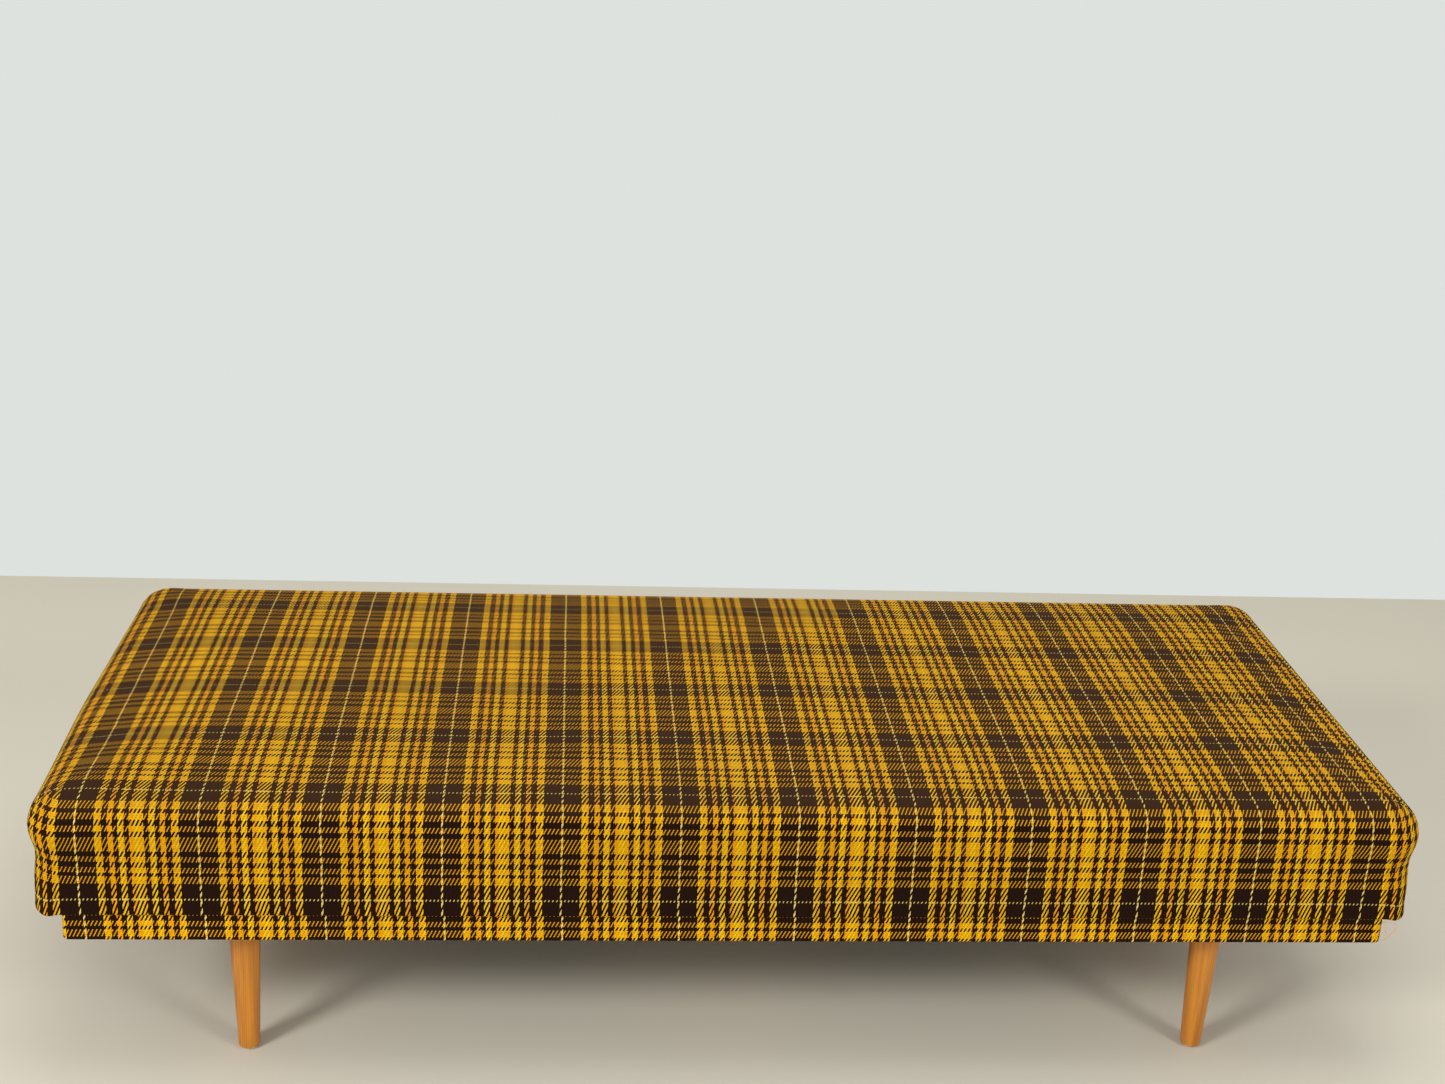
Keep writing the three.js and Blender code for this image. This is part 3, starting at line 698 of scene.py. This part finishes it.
def add_loose_threads():
    """The frayed end of the base's cloth at its right front corner."""
    low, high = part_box("base_cover_front")
    n = Nodes("loose_thread_look")
    tone = n.remap(n.noise(n.position(), 700.0, 2.0), 0.3, 0.7, 0.0, 1.0)
    n.set(Base_Color=n.mix(tone, srgb(226, 140, 60), srgb(240, 176, 110)), Roughness=0.8)
    n.put(n.bsdf.inputs["Normal"], n.bump(tone, 0.0002, 0.4))
    threads = {
        "loose_thread_1": [(-0.001, 0.001, -0.009), (0.010, -0.001, -0.0085), (0.019, -0.003, -0.011),
                           (0.018, -0.004, -0.018), (0.009, -0.004, -0.030), (0.001, -0.003, -0.038)],
        "loose_thread_2": [(-0.001, 0.002, -0.010), (0.004, 0.000, -0.014), (0.003, -0.002, -0.021),
                           (0.007, -0.003, -0.027)],
        "loose_thread_3": [(-0.002, -0.001, -0.022), (0.003, -0.003, -0.024), (0.002, -0.004, -0.031)],
    }
    for name, points in threads.items():
        curve = bpy.data.curves.new(name, "CURVE")
        curve.dimensions = "3D"
        curve.bevel_depth = 0.0004
        curve.bevel_resolution = 1
        curve.use_fill_caps = True
        spline = curve.splines.new("NURBS")
        spline.points.add(len(points) - 1)
        for point, (x, y, z) in zip(spline.points, points):
            point.co = (high[0] + x, low[1] + y, high[2] + z, 1.0)
        spline.use_endpoint_u = True
        spline.order_u = 3
        spline.resolution_u = 6
        obj = link(bpy.data.objects.new(name, curve))
        curve.materials.append(n.material)
        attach(obj, "base")


# ---------------------------------------------------------------- plain materials
def wood_material(name, light, dark, scale=1.0, rough=0.42, coat=0.0, axis=2):
    """Straight-grained wood with its grain along one axis: 0, 1 or 2 for X, Y or Z."""
    n = Nodes(name)
    place = n.position()
    stretch = [38.0 * scale] * 3
    stretch[axis] = 1.6 * scale
    warped = n.noise(n.scaled(place, tuple(stretch)), 1.0, 4.0, 0.55)
    wave = n.tree.nodes.new("ShaderNodeTexWave")
    wave.wave_type = "RINGS"
    wave.rings_direction = "XYZ"[axis]
    squeeze = [1.0, 1.0, 1.0]
    squeeze[axis] = 0.06
    n.put(wave.inputs["Vector"], n.scaled(place, tuple(squeeze)))
    wave.inputs["Scale"].default_value = 60.0 * scale
    wave.inputs["Distortion"].default_value = 5.0
    wave.inputs["Detail"].default_value = 2.0
    wave.inputs["Detail Scale"].default_value = 0.6
    grain = n.math("ADD", n.math("MULTIPLY", warped, 0.88), n.math("MULTIPLY", wave.outputs["Fac"], 0.12))
    fleck = [420.0 * scale] * 3
    fleck[axis] = 45.0 * scale
    pores = n.remap(n.noise(n.scaled(place, tuple(fleck)), 1.0, 2.0), 0.6, 0.72, 0.0, 0.35)
    colour = n.mix(n.remap(grain, 0.32, 0.68), dark, light)
    colour = n.mix(pores, colour, dark)
    n.set(Base_Color=colour, Roughness=n.remap(grain, 0.3, 0.7, rough + 0.06, rough - 0.04))
    if coat:
        n.bsdf.inputs["Coat Weight"].default_value = coat
        n.bsdf.inputs["Coat Roughness"].default_value = 0.22
    n.put(n.bsdf.inputs["Normal"], n.bump(n.math("SUBTRACT", grain, pores), 0.0003, 0.35))
    return n.material


def wadding_material():
    n = Nodes("cotton_wadding_look")
    place = n.position()
    tufts = n.noise(place, 160.0, 6.0, 0.65)
    colour = n.mix(n.remap(tufts, 0.35, 0.65), srgb(206, 196, 172), srgb(232, 226, 208))
    specks = n.remap(n.noise(place, 900.0, 2.0), 0.66, 0.72, 0.0, 0.5)
    colour = n.mix(specks, colour, srgb(120, 92, 64))
    n.set(Base_Color=colour, Roughness=0.95)
    n.bsdf.inputs["Sheen Weight"].default_value = 0.3
    n.put(n.bsdf.inputs["Normal"], n.bump(tufts, 0.002, 0.8))
    return n.material


def black_cloth_material():
    n = Nodes("black_cloth_look")
    place = n.position()
    x, y, _ = n.split(place)
    pitch = 0.0011
    weave_x, weave_y = (n.math("SINE", n.math("MULTIPLY", part, 2 * math.pi / pitch)) for part in (x, y))
    weave = n.math("MULTIPLY", weave_x, weave_y)
    dust = n.remap(n.noise(place, 14.0, 5.0), 0.45, 0.75, 0.0, 0.3)
    colour = n.mix(n.remap(weave, -1.0, 1.0), srgb(28, 26, 25), srgb(52, 49, 46))
    colour = n.mix(dust, colour, srgb(96, 90, 82))
    n.set(Base_Color=colour, Roughness=0.92)
    n.put(n.bsdf.inputs["Normal"], n.bump(weave, 0.0003, 0.5))
    return n.material


def steel_material(name, light, dark, rough):
    n = Nodes(name)
    place = n.position()
    tarnish = n.noise(place, 120.0, 5.0, 0.6)
    colour = n.mix(n.remap(tarnish, 0.35, 0.7), light, dark)
    n.set(Base_Color=colour, Roughness=n.remap(tarnish, 0.3, 0.7, rough, rough + 0.25))
    n.bsdf.inputs["Metallic"].default_value = 1.0
    n.put(n.bsdf.inputs["Normal"], n.bump(n.noise(place, 700.0, 2.0), 0.0002, 0.3))
    return n.material


def nylon_material():
    n = Nodes("nylon_look")
    place = n.position()
    scuffs = n.noise(place, 300.0, 4.0)
    colour = n.mix(n.remap(scuffs, 0.4, 0.7), srgb(214, 208, 194), srgb(160, 152, 138))
    n.set(Base_Color=colour, Roughness=n.remap(scuffs, 0.3, 0.7, 0.4, 0.65))
    n.put(n.bsdf.inputs["Normal"], n.bump(scuffs, 0.0003, 0.3))
    return n.material


def dress(names, material):
    for name in names:
        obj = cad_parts[name]
        obj.data.materials.clear()
        obj.data.materials.append(material)


# ---------------------------------------------------------------- floor and light
def add_stage():
    """A pale floor that ends where the room's wall would stand."""
    mesh = bpy.data.meshes.new("floor")
    corners = [(-FLOOR_SIZE, -FLOOR_SIZE, 0), (FLOOR_SIZE, -FLOOR_SIZE, 0),
               (FLOOR_SIZE, FLOOR_END, 0), (-FLOOR_SIZE, FLOOR_END, 0)]
    mesh.from_pydata(corners, [], [(0, 1, 2, 3)])
    floor = link(bpy.data.objects.new("floor", mesh))
    n = Nodes("floor_look")
    tone = n.remap(n.noise(n.position(), 1.4, 3.0), 0.3, 0.7, 0.97, 1.0)
    # Painted light and shade: the floor's colour runs lighter at the front and darker towards the back.
    painted_shade_to_back = n.mix(n.remap(n.split(n.position())[1], -1.3, 0.9), srgb(223, 218, 204), srgb(205, 199, 182))
    n.set(Base_Color=n.mix(1.0, painted_shade_to_back, n.grey(tone), "MULTIPLY"), Roughness=0.75)
    mesh.materials.append(n.material)


def add_lights():
    world = bpy.data.worlds.new("studio")
    world.use_nodes = True
    tree = world.node_tree
    soft = tree.nodes["Background"]
    soft.inputs[0].default_value = (0.98, 0.98, 0.96, 1.0)
    soft.inputs[1].default_value = 0.58
    # The camera sees the colour of a pale wall where the floor ends.
    pale = tree.nodes.new("ShaderNodeBackground")
    pale.inputs[0].default_value = srgb(222, 226, 223)
    pale.inputs[1].default_value = 1.0
    path = tree.nodes.new("ShaderNodeLightPath")
    choose = tree.nodes.new("ShaderNodeMixShader")
    tree.links.new(path.outputs["Is Camera Ray"], choose.inputs[0])
    tree.links.new(soft.outputs[0], choose.inputs[1])
    tree.links.new(pale.outputs[0], choose.inputs[2])
    tree.links.new(choose.outputs[0], tree.nodes["World Output"].inputs["Surface"])
    bpy.context.scene.world = world

    def area(name, place, target, size, power, colour):
        data = bpy.data.lights.new(name, "AREA")
        data.shape = "DISK"
        data.size = size
        data.energy = power
        data.color = colour
        lamp = link(bpy.data.objects.new(name, data))
        lamp.location = place
        lamp.rotation_euler = (Vector(target) - Vector(place)).to_track_quat("-Z", "Y").to_euler()

    warm = (1.0, 0.985, 0.96)
    area("key_left", (-3.4, -3.2, 3.0), (0, 0, 0.3), 1.3, 134, warm)
    area("key_right", (3.0, -3.5, 2.8), (0, 0, 0.3), 1.3, 60, warm)
    area("top", (0.2, 0.2, 3.8), (0, 0.1, 0.4), 3.0, 45, (1.0, 1.0, 0.99))


# ---------------------------------------------------------------- assembly
def all_names(prefix):
    return [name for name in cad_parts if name.startswith(prefix)]


add_camera()
add_mattress_cover()
# Painted light: the base's copy of the plaid is drawn 12% brighter than the mattress's.
plaid_base = plaid_material("plaid_base", 2.0, 1.12)
add_base_cloth(DOTTED_WEFT_Y + BASE_DROP * WEFT_PITCH)
add_loose_threads()

beech = wood_material("beech_look", srgb(212, 138, 32), srgb(170, 98, 14), scale=2.2, rough=0.38, coat=0.2)
pine_x, pine_y = (wood_material("softwood_" + letter + "_look", srgb(226, 196, 148), srgb(192, 150, 98),
                                scale=0.6, rough=0.62, axis=axis) for axis, letter in enumerate("xy"))
dress(["leg_" + c for c in ("front_left", "front_right", "back_left", "back_right")], beech)
dress(["base_rail_front", "base_rail_back", "pad_rail_front", "pad_rail_back"], pine_x)
dress(["base_rail_left", "base_rail_right", "pad_rail_left", "pad_rail_right"], pine_y)
dress(all_names("leg_board") + ["middle_board"] + all_names("pad_slat") + all_names("corner_block"), pine_y)
dress(all_names("stop_block"), pine_x)
dress(all_names("border_wadding") + ["top_padding", "spring_insulator"], wadding_material())
dress(["dust_cover"], black_cloth_material())
dress(["spring_unit"], steel_material("spring_look", srgb(150, 150, 152), srgb(92, 90, 90), 0.35))
zinc = steel_material("zinc_look", srgb(205, 205, 208), srgb(150, 148, 146), 0.28)
dress(all_names("leg_bolt") + all_names("leg_nut"), zinc)
dress(all_names("leg_glide"), nylon_material())
add_stage()
add_lights()

scene = bpy.context.scene
scene.view_settings.view_transform = "Standard"
